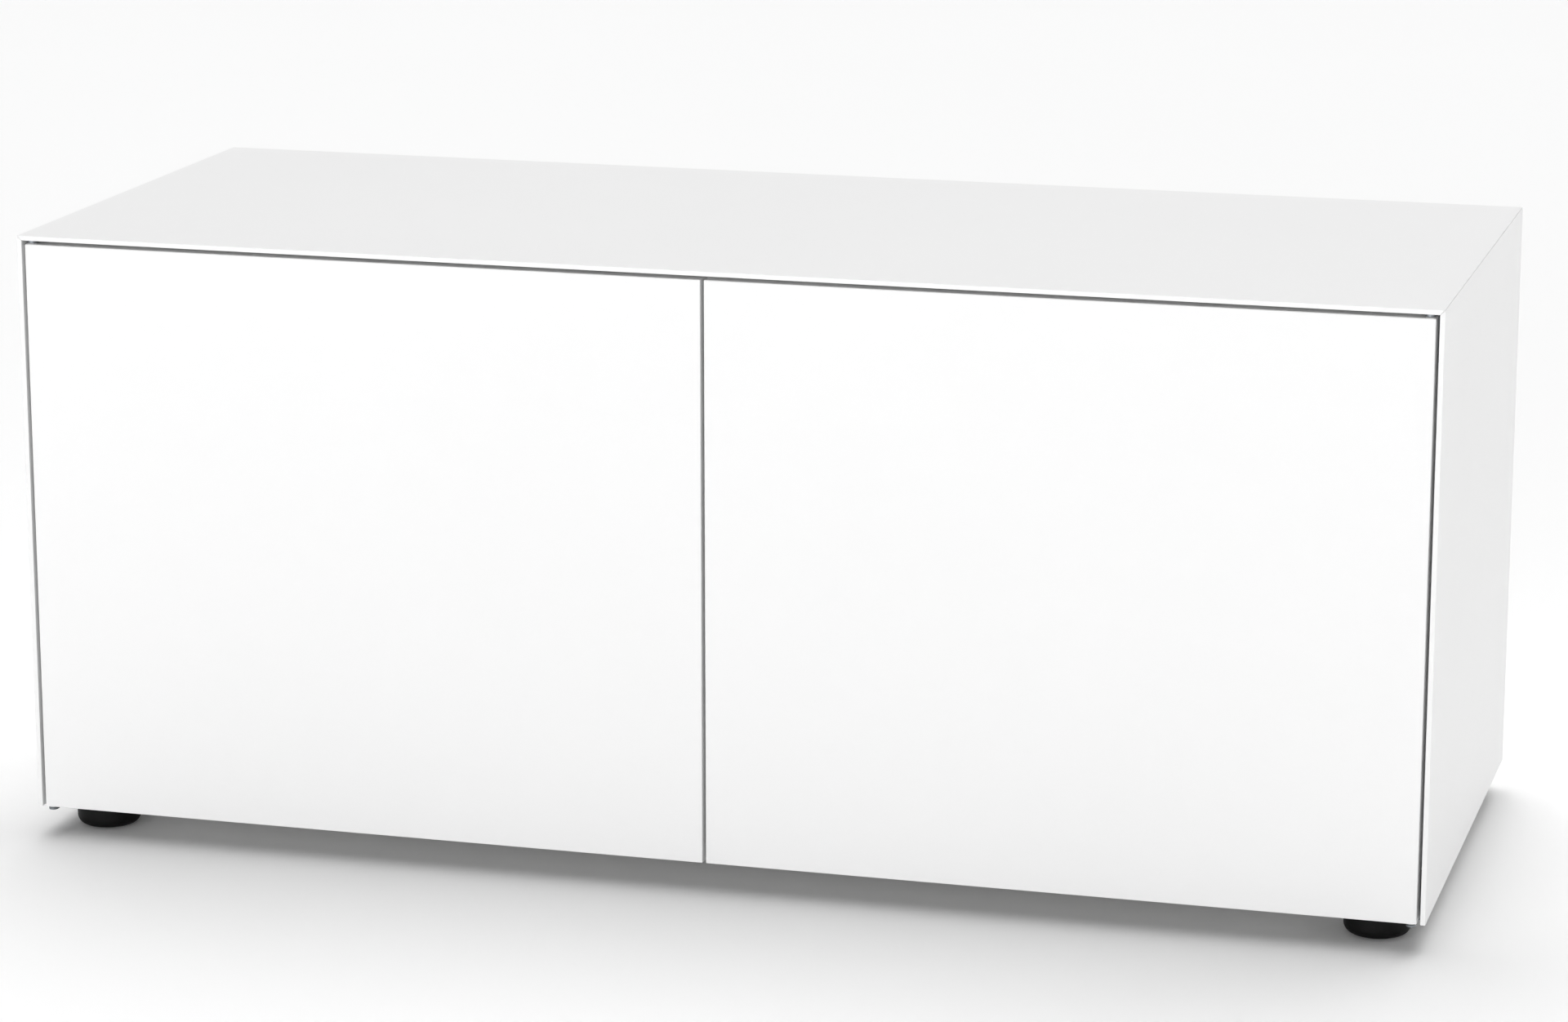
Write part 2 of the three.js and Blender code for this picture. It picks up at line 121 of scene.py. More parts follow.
def finish_piece(mesh, name, material, body, nodes=()):
    """Turns a bmesh into a piece that rides on a body and stands for some CAD nodes."""
    piece = plain_mesh(name, mesh)
    piece.data.materials.append(material)
    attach(piece, body)
    if nodes:
        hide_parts(*nodes)


def eased(name, width, steps):
    """The CAD solid with its corners shared, its flat faces whole and its edges broken."""
    mesh = bmesh.new()
    mesh.from_mesh(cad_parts[name].data)
    bmesh.ops.remove_doubles(mesh, verts=mesh.verts, dist=DOUBLE_REACH)
    bmesh.ops.dissolve_limit(mesh, angle_limit=FLAT_ANGLE, verts=mesh.verts, edges=mesh.edges)
    sharp = [e for e in mesh.edges if len(e.link_faces) == 2 and e.calc_face_angle(0) > SHARP_ANGLE]
    bmesh.ops.bevel(mesh, geom=sharp, offset=width, offset_type="OFFSET", segments=steps,
                    profile=0.5, affect="EDGES", clamp_overlap=True)
    return mesh


lacquer = satin_white_lacquer()
for board in ("top_panel", "left_side_panel", "right_side_panel"):
    finish_piece(eased(board, BOARD_EASE, BOARD_EASE_STEPS), "lacquered_" + board, lacquer,
                 "cabinet", [board])


# ---------------------------------------------------------------------------
# Doors: slabs of the same board, lacquered on all faces, with a rounder edge than the carcass.
# They close flush with the front edges of the sides and the top.
DOOR_EASE = 0.0009
DOOR_EASE_STEPS = 4
BUSH_BORE_RADIUS = 0.0036
BORE_OVERRUN = 0.0004         # how far a drill runs past the face it enters
DRILL_STEPS = 48


def evaluated(source):
    """A bmesh of the object with its modifiers applied. The object itself is removed."""
    bpy.context.view_layer.update()
    data = bpy.data.meshes.new_from_object(source.evaluated_get(bpy.context.evaluated_depsgraph_get()))
    mesh = bmesh.new()
    mesh.from_mesh(data)
    bpy.data.objects.remove(source)
    bpy.data.meshes.remove(data)
    return mesh


def rod(mesh, start, end, start_radius, end_radius, steps=DRILL_STEPS):
    """Adds a closed rod or cone between two points."""
    start, end = Vector(start), Vector(end)
    turn = Vector((0, 0, 1)).rotation_difference(end - start).to_matrix().to_4x4()
    place = Matrix.Translation((start + end) / 2) @ turn
    bmesh.ops.create_cone(mesh, cap_ends=True, segments=steps, radius1=start_radius,
                          radius2=end_radius, depth=(end - start).length, matrix=place)


def drilled(mesh, tools):
    """The mesh with the shapes of the tools taken out of it."""
    solid = plain_mesh("blank", mesh)
    drill = plain_mesh("drill", tools)
    taken = solid.modifiers.new("bores", "BOOLEAN")
    taken.operation = "DIFFERENCE"
    taken.solver = "EXACT"
    taken.use_self = True
    taken.object = drill
    result = evaluated(solid)
    bpy.data.objects.remove(drill)
    return result


def centre(name):
    """The middle of a CAD node's box."""
    low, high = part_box(name)
    return (low + high) / 2


def door_slab(name, side):
    """A slab the size of the CAD door, with its arrises rounded, bored for the two bushes."""
    low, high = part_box(name)
    mesh = bmesh.new()
    bmesh.ops.create_cube(mesh, size=1.0)
    bmesh.ops.scale(mesh, vec=high - low, verts=mesh.verts)
    bmesh.ops.translate(mesh, vec=centre(name), verts=mesh.verts)
    bmesh.ops.bevel(mesh, geom=mesh.edges[:], offset=DOOR_EASE, offset_type="OFFSET",
                    segments=DOOR_EASE_STEPS, profile=0.5, affect="EDGES", clamp_overlap=True)
    bores = bmesh.new()
    for end in ("lower", "upper"):
        bush = f"{side}_{end}_pivot_bush"
        low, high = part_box(bush)
        bottom = centre(bush)
        bottom.z = low.z - BORE_OVERRUN
        top = centre(bush)
        top.z = high.z + BORE_OVERRUN
        rod(bores, bottom, top, BUSH_BORE_RADIUS, BUSH_BORE_RADIUS)
    return drilled(mesh, bores)


for side in ("left", "right"):
    name = side + "_door"
    finish_piece(door_slab(name, side), "lacquered_" + name, lacquer, name, [name])


# ---------------------------------------------------------------------------
# Inner boards: the bottom, the divider and the two shelves.
# Particle board faced with matt white melamine paper, its front edges banded to match.
INNER_EASE = 0.0003
PAPER_PEARL = 0.0011          # the pressed pearl texture of the paper
PAPER_CLOUD = 1 / 6           # width of the faint changes of tone in its print


def white_melamine():
    """Melamine paper: a flatter white than the lacquer, with a small pressed pearl texture."""
    made, tree, place, shader = new_material("matt_white_melamine")
    cloud = node(tree, "ShaderNodeTexNoise", {"Scale": 1 / PAPER_CLOUD, "Detail": 5.0}, {"Vector": place})
    tone = node(tree, "ShaderNodeMix", {"data_type": "RGBA", 6: linear("#e2e2e1"), 7: linear("#e8e8e7")},
                {0: cloud.outputs["Fac"]})
    tree.links.new(tone.outputs[2], shader.inputs["Base Color"])
    pearl = node(tree, "ShaderNodeTexVoronoi", {"feature": "SMOOTH_F1", "Scale": 1 / PAPER_PEARL},
                 {"Vector": place})
    gloss = node(tree, "ShaderNodeMapRange", {"To Min": 0.5, "To Max": 0.66},
                 {"Value": pearl.outputs["Distance"]})
    tree.links.new(gloss.outputs["Result"], shader.inputs["Roughness"])
    bump = node(tree, "ShaderNodeBump", {"Strength": 0.25, "Distance": 0.00006},
                {"Height": pearl.outputs["Distance"]})
    tree.links.new(bump.outputs["Normal"], shader.inputs["Normal"])
    return made


melamine = white_melamine()
for board in ("bottom_panel", "centre_divider", "left_shelf", "right_shelf"):
    finish_piece(eased(board, INNER_EASE, 1), "melamine_" + board, melamine,
                 "cabinet", [board])


# ---------------------------------------------------------------------------
# Shelf pegs: turned steel pins with a collar, zinc plated, pushed into bored holes.
PEG_ROUND = 0.0004
PEG_RADIUS = 0.0025
PEG_COLLAR_RADIUS = 0.0045
PEG_COLLAR = (0.0068, 0.0078)      # from the peg's inner end
ROUND_STEPS = 48
ARC_STEPS = 4
ARC_SHARE = 0.45              # most of a side that a fillet may take up
ZINC_CLOUD = 1 / 260          # width of the faint changes of tone in the plating
ZINC_GRAIN = 1 / 2400
AXIS_REACH = 1e-7             # a point nearer to the axis than this is on it


def zinc_plate(name, dark, light):
    """Zinc plating on steel: a cool grey metal with a faint grain and a cloudy gloss."""
    made, tree, place, shader = new_material(name)
    shader.inputs["Metallic"].default_value = 1.0
    cloud = node(tree, "ShaderNodeTexNoise", {"Scale": 1 / ZINC_CLOUD, "Detail": 4.0}, {"Vector": place})
    tone = node(tree, "ShaderNodeMix", {"data_type": "RGBA", 6: linear(dark), 7: linear(light)},
                {0: cloud.outputs["Fac"]})
    tree.links.new(tone.outputs[2], shader.inputs["Base Color"])
    gloss = node(tree, "ShaderNodeMapRange", {"To Min": 0.22, "To Max": 0.42},
                 {"Value": cloud.outputs["Fac"]})
    tree.links.new(gloss.outputs["Result"], shader.inputs["Roughness"])
    grain = node(tree, "ShaderNodeTexNoise", {"Scale": 1 / ZINC_GRAIN, "Detail": 1.0}, {"Vector": place})
    bump = node(tree, "ShaderNodeBump", {"Strength": 0.15, "Distance": 0.00002},
                {"Height": grain.outputs["Fac"]})
    tree.links.new(bump.outputs["Normal"], shader.inputs["Normal"])
    return made


def filleted(points, radius):
    """The outline with each corner replaced by a short arc. Its two ends stay as they are."""
    out = [Vector(points[0])]
    for before, corner, after in zip(points, points[1:], points[2:]):
        corner = Vector(corner)
        back = Vector(before) - corner
        on = Vector(after) - corner
        reach = min(radius, back.length * ARC_SHARE, on.length * ARC_SHARE)
        start = corner + back.normalized() * reach
        end = corner + on.normalized() * reach
        for step in range(ARC_STEPS + 1):
            t = step / ARC_STEPS
            out.append(start * (1 - t) ** 2 + corner * 2 * t * (1 - t) + end * t * t)
    out.append(Vector(points[-1]))
    return out


def turned(profile, steps, axis, place):
    """A solid of revolution. The profile is a list of radius and height along the axis."""
    mesh = bmesh.new()
    rings = []
    for radius, height in profile:
        if radius < AXIS_REACH:
            rings.append([mesh.verts.new((0, 0, height))])
            continue
        turns = [2 * math.pi * i / steps for i in range(steps)]
        rings.append([mesh.verts.new((radius * math.cos(a), radius * math.sin(a), height))
                      for a in turns])
    closed = len(rings[0]) > 1
    pairs = list(zip(rings, rings[1:]))
    if closed:
        pairs.append((rings[-1], rings[0]))
    for lower, upper in pairs:
        for i in range(steps):
            j = (i + 1) % steps
            quad = [lower[i % len(lower)], lower[j % len(lower)],
                    upper[j % len(upper)], upper[i % len(upper)]]
            corners = list(dict.fromkeys(quad))
            if len(corners) > 2:
                mesh.faces.new(corners)
    turn = Vector((0, 0, 1)).rotation_difference(Vector(axis)).to_matrix().to_4x4()
    bmesh.ops.transform(mesh, matrix=Matrix.Translation(place) @ turn, verts=mesh.verts)
    bmesh.ops.recalc_face_normals(mesh, faces=mesh.faces)
    smooth(mesh)
    return mesh


def smooth(mesh):
    """Smooth shading, kept crisp where two faces meet at an angle."""
    for face in mesh.faces:
        face.smooth = True
    for edge in mesh.edges:
        edge.smooth = len(edge.link_faces) == 2 and edge.calc_face_angle(0) < SHARP_ANGLE


zinc = zinc_plate("bright_zinc_plating", "#aeb2b6", "#c9ccce")
for side, sign in (("left", -1), ("right", 1)):
    for face, inward in (("outer", -sign), ("inner", sign)):
        for row in ("front", "rear"):
            name = f"{side}_shelf_peg_{face}_{row}"
            low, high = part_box(name)
            length = high.x - low.x
            start = centre(name)
            start.x = low.x if inward > 0 else high.x
            outline = [(0, 0), (PEG_RADIUS, 0), (PEG_RADIUS, PEG_COLLAR[0]),
                       (PEG_COLLAR_RADIUS, PEG_COLLAR[0]), (PEG_COLLAR_RADIUS, PEG_COLLAR[1]),
                       (PEG_RADIUS, PEG_COLLAR[1]), (PEG_RADIUS, length), (0, length)]
            peg = turned(filleted(outline, PEG_ROUND), ROUND_STEPS, (inward, 0, 0), start)
            finish_piece(peg, "turned_" + name, zinc, "cabinet", [name])


# ---------------------------------------------------------------------------
# Cable grommets: light grey moulded rings pushed into the outlets from inside.
GROMMET_BORE = 0.026
GROMMET_TUBE = 0.030
GROMMET_FLANGE = 0.035
GROMMET_FLANGE_THICKNESS = 0.0025
GROMMET_ROUND = 0.0009
SEAM = 0.0002                 # a closed profile starts and ends this far apart
MOULD_GRAIN = 0.0007          # width of one dimple of the mould's grain
MOULD_FLOW = 1 / 120          # width of the faint flow marks


def moulded_plastic(name, light, dark, low_gloss, high_gloss, shine=0.5):
    """Injection moulded plastic: even colour, with the fine spark-eroded grain of the mould."""
    made, tree, place, shader = new_material(name)
    cloud = node(tree, "ShaderNodeTexNoise", {"Scale": 1 / MOULD_FLOW, "Detail": 3.0}, {"Vector": place})
    tone = node(tree, "ShaderNodeMix", {"data_type": "RGBA", 6: linear(dark), 7: linear(light)},
                {0: cloud.outputs["Fac"]})
    tree.links.new(tone.outputs[2], shader.inputs["Base Color"])
    grain = node(tree, "ShaderNodeTexVoronoi", {"Scale": 1 / MOULD_GRAIN}, {"Vector": place})
    gloss = node(tree, "ShaderNodeMapRange", {"To Min": low_gloss, "To Max": high_gloss},
                 {"Value": grain.outputs["Distance"]})
    tree.links.new(gloss.outputs["Result"], shader.inputs["Roughness"])
    bump = node(tree, "ShaderNodeBump", {"Strength": 0.35, "Distance": 0.00008},
                {"Height": grain.outputs["Distance"]})
    tree.links.new(bump.outputs["Normal"], shader.inputs["Normal"])
    shader.inputs["Specular IOR Level"].default_value = shine
    return made


grey_acetal = moulded_plastic("light_grey_acetal", "#c9cacb", "#bfc0c1", 0.38, 0.5)
for side in ("left", "right"):
    name = side + "_cable_grommet"
    low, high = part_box(name)
    length = high.y - low.y
    shoulder = length - GROMMET_FLANGE_THICKNESS
    outline = [(GROMMET_BORE, length / 2), (GROMMET_BORE, 0), (GROMMET_TUBE, 0), (GROMMET_TUBE, shoulder),
               (GROMMET_FLANGE, shoulder), (GROMMET_FLANGE, length), (GROMMET_BORE, length),
               (GROMMET_BORE, length / 2 + SEAM)]
    start = centre(name)
    start.y = high.y
    ring = turned(filleted(outline, GROMMET_ROUND), 2 * ROUND_STEPS, (0, -1, 0), start)
    finish_piece(ring, "moulded_" + name, grey_acetal, "cabinet", [name])


# ---------------------------------------------------------------------------
# Pivot hinges: a bent steel bracket, zinc plated, with a pin that turns in a plastic bush in
# the door's end. One stands below and one above the outer corner of each door, and two
# countersunk screws hold each to the shoulder of the side.
BRACKET_EASE = 0.0003
BRACKET_THICKNESS = 0.002
PIN_ROUND = 0.0005
SCREW_HEAD_RADIUS = 0.0030
SCREW_HEAD_DEPTH = 0.0017
SCREW_SHANK_RADIUS = 0.0013
SCREW_SINK = 0.0001           # head below the face it is driven into
BRACKET_SCREWS = (0.012, 0.034)      # from the leaf's outer face
HEAD_STEPS = 24
SLOT_LENGTH = 1.05            # shares of the head's radius
SLOT_WIDTH = 0.24
SLOT_DEPTH = 1.1              # share of the head's depth, half of it above the head
SLOT_TURN = 1.5               # most that a cross recess is turned, in radians
SCREW_SEED = 7


def screw_tree():
    """Countersunk screws with a cross recess, one at each point, all facing the same way."""
    tree = bpy.data.node_groups.new("countersunk_screws", "GeometryNodeTree")
    face = tree.interface
    face.new_socket("Geometry", in_out="OUTPUT", socket_type="NodeSocketGeometry")
    face.new_socket("Points", in_out="INPUT", socket_type="NodeSocketGeometry")
    for name, value in (("Head Radius", SCREW_HEAD_RADIUS), ("Shank Radius", SCREW_SHANK_RADIUS),
                        ("Head Depth", SCREW_HEAD_DEPTH)):
        face.new_socket(name, in_out="INPUT", socket_type="NodeSocketFloat").default_value = value
    face.new_socket("Facing", in_out="INPUT", socket_type="NodeSocketVector")
    face.new_socket("Seed", in_out="INPUT", socket_type="NodeSocketInt").default_value = SCREW_SEED
    face.new_socket("Material", in_out="INPUT", socket_type="NodeSocketMaterial")
    given = node(tree, "NodeGroupInput").outputs
    head = node(tree, "GeometryNodeMeshCone", {"Vertices": HEAD_STEPS}, {
        "Radius Top": given["Head Radius"], "Radius Bottom": given["Shank Radius"],
        "Depth": given["Head Depth"]})
    arm = node(tree, "ShaderNodeMath", {"operation": "MULTIPLY", 1: SLOT_LENGTH},
               {0: given["Head Radius"]})
    width = node(tree, "ShaderNodeMath", {"operation": "MULTIPLY", 1: SLOT_WIDTH},
                 {0: given["Head Radius"]})
    depth = node(tree, "ShaderNodeMath", {"operation": "MULTIPLY", 1: SLOT_DEPTH},
                 {0: given["Head Depth"]})
    along = node(tree, "ShaderNodeCombineXYZ", links={"X": arm.outputs[0], "Y": width.outputs[0],
                                                      "Z": depth.outputs[0]})
    across = node(tree, "ShaderNodeCombineXYZ", links={"X": width.outputs[0], "Y": arm.outputs[0],
                                                       "Z": depth.outputs[0]})
    lift = node(tree, "ShaderNodeCombineXYZ", links={"Z": given["Head Depth"]})
    recess = node(tree, "GeometryNodeMeshBoolean", {"operation": "DIFFERENCE", "solver": "EXACT"},
                  {"Mesh 1": head.outputs["Mesh"]})
    for size in (along, across):
        bar = node(tree, "GeometryNodeMeshCube", links={"Size": size.outputs[0]})
        raised = node(tree, "GeometryNodeTransform", links={"Geometry": bar.outputs["Mesh"],
                                                            "Translation": lift.outputs[0]})
        tree.links.new(raised.outputs[0], recess.inputs["Mesh 2"])
    sink = node(tree, "ShaderNodeVectorMath", {"operation": "SCALE", "Scale": -1.0}, {0: lift.outputs[0]})
    sunk = node(tree, "GeometryNodeTransform", links={"Geometry": recess.outputs["Mesh"],
                                                      "Translation": sink.outputs[0]})
    upright = node(tree, "FunctionNodeAlignRotationToVector", {"axis": "Z"}, {"Vector": given["Facing"]})
    chance = node(tree, "FunctionNodeRandomValue", {"data_type": "FLOAT", 3: SLOT_TURN},
                  {"Seed": given["Seed"]})
    slot_turn = node(tree, "ShaderNodeCombineXYZ", links={"Z": chance.outputs[1]})
    spun = node(tree, "FunctionNodeEulerToRotation", links={"Euler": slot_turn.outputs[0]})
    both = node(tree, "FunctionNodeRotateRotation", {"rotation_space": "LOCAL"},
                {"Rotation": upright.outputs[0], "Rotate By": spun.outputs[0]})
    placed = node(tree, "GeometryNodeInstanceOnPoints", links={
        "Points": given["Points"], "Instance": sunk.outputs[0], "Rotation": both.outputs[0]})
    real = node(tree, "GeometryNodeRealizeInstances", links={"Geometry": placed.outputs[0]})
    finished = node(tree, "GeometryNodeSetMaterial", links={"Geometry": real.outputs[0],
                                                            "Material": given["Material"]})
    node(tree, "NodeGroupOutput", links={"Geometry": finished.outputs[0]})
    return tree


screws = screw_tree()


def driven_screws(name, points, facing, body, sizes=None):
    """Screws whose heads lie just under the points, as one piece that rides on a body."""
    places = bmesh.new()
    sunk = Vector(facing) * SCREW_SINK
    for point in points:
        places.verts.new(Vector(point) - sunk)
    holder = plain_mesh(name + "_places", places)
    grown = holder.modifiers.new("screws", "NODES")
    grown.node_group = screws
    values = {"Facing": tuple(facing), "Material": zinc, **(sizes or {})}
    for item in screws.interface.items_tree:
        if item.in_out == "INPUT" and item.name in values:
            grown[item.identifier] = values[item.name]
    finish_piece(evaluated(holder), name, zinc, body)


def countersinks(mesh, points, facing, through):
    """Adds a countersink and a clearance hole under each point."""
    inward = Vector(facing)
    for point in points:
        point = Vector(point)
        rod(mesh, point + inward * SCREW_SINK, point - inward * (SCREW_HEAD_DEPTH + SCREW_SINK),
            SCREW_HEAD_RADIUS + 2 * SCREW_SINK, SCREW_SHANK_RADIUS, HEAD_STEPS)
        rod(mesh, point, point - inward * through, SCREW_SHANK_RADIUS, SCREW_SHANK_RADIUS, HEAD_STEPS)
    return mesh


passivated_zinc = zinc_plate("grey_passivated_zinc", "#74787c", "#8b8f93")
BUSH_BORE = 0.0023
BUSH_TUBE = 0.0034
BUSH_FLANGE = 0.004
BUSH_FLANGE_THICKNESS = 0.0006
BUSH_ROUND = 0.0002
for side in ("left", "right"):
    for end, up in (("lower", 1), ("upper", -1)):
        stem = f"{side}_{end}_pivot_"
        low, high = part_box(stem + "bracket")
        flange = (low.x + high.x) / 2
        foot = low.z if up > 0 else high.z
        forward = (0, -1, 0)
        heads = [(flange, high.y - BRACKET_THICKNESS, foot + up * reach) for reach in BRACKET_SCREWS]
        sinks = countersinks(bmesh.new(), heads, forward, 2 * BRACKET_THICKNESS)
        finish_piece(drilled(eased(stem + "bracket", BRACKET_EASE, 2), sinks), "bent_" + stem + "bracket",
                     passivated_zinc, "cabinet", [stem + "bracket"])
        driven_screws(stem + "screws", heads, forward, "cabinet")
        low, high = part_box(stem + "pin")
        length = high.z - low.z
        radius = (high.x - low.x) / 2
        start = centre(stem + "pin")
        start.z = low.z if up > 0 else high.z
        pin = turned(filleted([(0, 0), (radius, 0), (radius, length), (0, length)], PIN_ROUND),
                     ROUND_STEPS, (0, 0, up), start)
        finish_piece(pin, "turned_" + stem + "pin", zinc, "cabinet", [stem + "pin"])
        low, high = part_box(stem + "bush")
        length = high.z - low.z
        start.z = low.z if up > 0 else high.z
        outline = [(BUSH_BORE, length / 2), (BUSH_BORE, 0), (BUSH_FLANGE, 0),
                   (BUSH_FLANGE, BUSH_FLANGE_THICKNESS), (BUSH_TUBE, BUSH_FLANGE_THICKNESS),
                   (BUSH_TUBE, length), (BUSH_BORE, length), (BUSH_BORE, length / 2 + SEAM)]
        bush = turned(filleted(outline, BUSH_ROUND), ROUND_STEPS, (0, 0, up), start)
        finish_piece(bush, "moulded_" + stem + "bush", grey_acetal, side + "_door",
                     [stem + "bush"])


# ---------------------------------------------------------------------------
# Back panels: two halves of thin fibreboard with the same white paper, let into rebates in the
# sides and the top, and screwed all round from behind.
BACK_SCREW_INSET = 0.0042          # from the edge of the panel, into the boards behind it
BACK_SCREW_PITCH = 0.15
for side, sign in (("left", -1), ("right", 1)):
    name = side + "_back_panel"
    low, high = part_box(name)
    outer = low.x if sign < 0 else high.x
    inner = high.x if sign < 0 else low.x
    uprights = (outer - sign * BACK_SCREW_INSET, inner + sign * BACK_SCREW_INSET)
    levels = (low.z + BACK_SCREW_INSET * 2, high.z - BACK_SCREW_INSET)
    rows = round((levels[1] - levels[0]) / BACK_SCREW_PITCH)
    columns = round(abs(uprights[1] - uprights[0]) / BACK_SCREW_PITCH)
    places = {(x, levels[0] + (levels[1] - levels[0]) * i / rows)
              for x in uprights for i in range(rows + 1)}
    places |= {(uprights[0] + (uprights[1] - uprights[0]) * i / columns, z)
               for z in levels for i in range(1, columns)}
    heads = [(x, high.y, z) for x, z in sorted(places)]
    sinks = countersinks(bmesh.new(), heads, (0, 1, 0), high.y - low.y - 2 * SCREW_SINK)
    finish_piece(drilled(eased(name, INNER_EASE, 1), sinks), "melamine_" + name, melamine,
                 "cabinet", [name])
    driven_screws(side + "_back_screws", heads, (0, 1, 0), "cabinet")


# ---------------------------------------------------------------------------
# Push latches: a grey moulded housing fixed to the divider, and a black moulded plunger with a
# plated magnet let into its head, which meets a steel plate on the door.
LATCH_EASE = 0.0006
black_acetal = moulded_plastic("black_acetal", "#1b1b1c", "#121213", 0.3, 0.42)
MAGNET_LENGTH = 0.0024          # length of the head that holds the magnet
MAGNET_WALL = 0.0009
MAGNET_THICKNESS = 0.0016
MAGNET_PROUD = 0.0002
PLUNGER_RADIUS = 0.0032
PLUNGER_ROUND = 0.0003
MAGNET_ROUND = 0.0002
for side in ("left", "right"):
    name = side + "_latch_housing"
    finish_piece(eased(name, LATCH_EASE, 2), "moulded_" + name, grey_acetal, "cabinet",
                 [name])
    name = side + "_latch_plunger"
    low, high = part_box(name)
    length = high.y - low.y
    head = (high.x - low.x) / 2
    start = centre(name)
    start.y = high.y
    magnet = head - MAGNET_WALL
    fit = magnet - MAGNET_PROUD / 2
    pocket = length - MAGNET_THICKNESS
    outline = [(0, 0), (PLUNGER_RADIUS, 0), (PLUNGER_RADIUS, length - MAGNET_LENGTH),
               (head, length - MAGNET_LENGTH), (head, length - MAGNET_PROUD),
               (magnet, length - MAGNET_PROUD), (magnet, pocket), (0, pocket)]
    plunger = turned(filleted(outline, PLUNGER_ROUND), ROUND_STEPS, (0, -1, 0), start)
    finish_piece(plunger, "moulded_" + name, black_acetal, name, [name])
    disc = filleted([(0, pocket), (fit, pocket), (fit, length), (0, length)], MAGNET_ROUND)
    finish_piece(turned(disc, ROUND_STEPS, (0, -1, 0), start), "plated_" + side + "_magnet",
                 zinc, name)


# ---------------------------------------------------------------------------
# Catch plates: pressed steel discs on the backs of the doors, with a countersunk screw each.
PLATE_ROUND = 0.0003
PLATE_WEB = 0.3               # share of the plate's thickness left under the screw's head
PLATE_HEAD = 0.6              # share of the plate's thickness that the screw's head takes
PLATE_SINK = 1.5              # foot of the countersink, as a share of the shank's radius
for side in ("left", "right"):
    name = side + "_catch_plate"
    low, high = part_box(name)
    radius = (high.x - low.x) / 2
    thickness = high.y - low.y
    start = centre(name)
    start.y = low.y
    sink_radius = SCREW_HEAD_RADIUS + 2 * SCREW_SINK
    outline = [(0, 0), (radius, 0), (radius, thickness), (sink_radius, thickness),
               (SCREW_SHANK_RADIUS * PLATE_SINK, thickness * PLATE_WEB), (0, thickness * PLATE_WEB)]
    disc = turned(filleted(outline, PLATE_ROUND), ROUND_STEPS, (0, 1, 0), start)
    finish_piece(disc, "pressed_" + name, zinc, side + "_door", [name])
    driven_screws(side + "_catch_screw", [start + Vector((0, thickness, 0))], (0, 1, 0), side + "_door",
                  {"Head Depth": thickness * PLATE_HEAD})


# ---------------------------------------------------------------------------
# Bumpers: clear silicone domes stuck on the divider's front edge, which the doors close on.
# Each is cast with a low straight rim and comes with its own glue.
BUMPER_RIM = 0.35             # share of a bumper's height that is straight
DOME_STEPS = 8
SILICONE_CLOUD = 0.002        # width of the faint changes of tone in the silicone


def clear_silicone():
    """Cast silicone: soft, slightly milky and see-through."""
    made, tree, place, shader = new_material("clear_silicone")
    cloud = node(tree, "ShaderNodeTexNoise", {"Scale": 1 / SILICONE_CLOUD, "Detail": 2.0},
                 {"Vector": place})
    tone = node(tree, "ShaderNodeMix", {"data_type": "RGBA", 6: linear("#dfe2e3"), 7: linear("#eef0f0")},
                {0: cloud.outputs["Fac"]})
    tree.links.new(tone.outputs[2], shader.inputs["Base Color"])
    gloss = node(tree, "ShaderNodeMapRange", {"To Min": 0.15, "To Max": 0.3},
                 {"Value": cloud.outputs["Fac"]})
    tree.links.new(gloss.outputs["Result"], shader.inputs["Roughness"])
    shader.inputs["IOR"].default_value = 1.41
    shader.inputs["Transmission Weight"].default_value = 0.6
    return made


silicone = clear_silicone()
for side in ("left", "right"):
    for level in ("lower", "upper"):
        name = f"{side}_{level}_bumper"
        low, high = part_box(name)
        radius = (high.x - low.x) / 2
        height = high.y - low.y
        rim = height * BUMPER_RIM
        arc = [math.pi / 2 * i / DOME_STEPS for i in range(1, DOME_STEPS)]
        dome = [(0, 0), (radius, 0), (radius, rim)]
        dome += [(radius * math.cos(a), rim + (height - rim) * math.sin(a)) for a in arc]
        dome.append((0, height))
        start = centre(name)
        start.y = high.y
        finish_piece(turned(dome, ROUND_STEPS, (0, -1, 0), start), "cast_" + name, silicone,
                     "cabinet", [name])


# ---------------------------------------------------------------------------
# Adjustable feet: a black moulded foot on a threaded stud, which screws into a flanged nut in
# the bottom panel, with a rubber pad let into its underside.
FOOT_ROUND = 0.008
FOOT_RIM_ROUND = 0.0006
FOOT_RIM = 0.003              # last stretch of the wall, up to the rim
FOOT_STEPS = 10
PAD_FIT = 0.0003              # room round and above the pad
STUD_BORE = 0.0042
STUD_SEAT = 0.0117            # height of the floor of the stud's hole
STUD_PITCH = 0.00125
THREAD_DEPTH = 0.0005
THREAD_STEPS = 32
THREAD_LEVELS = 4             # rings of points in each turn of the thread
PAD_RIB_PITCH = 0.003
PAD_RIB_FOOT = 0.0009         # half widths of a rib, below and at its tip
PAD_RIB_TIP = 0.0005
PAD_RIB_HEIGHT = 0.0006
NUT_EASE = 0.0003
RUBBER_DUST = 1 / 1500        # width of the rubber's grain
black_polypropylene = moulded_plastic("black_polypropylene", "#0c0c0c", "#060606", 0.5, 0.62, 0.15)


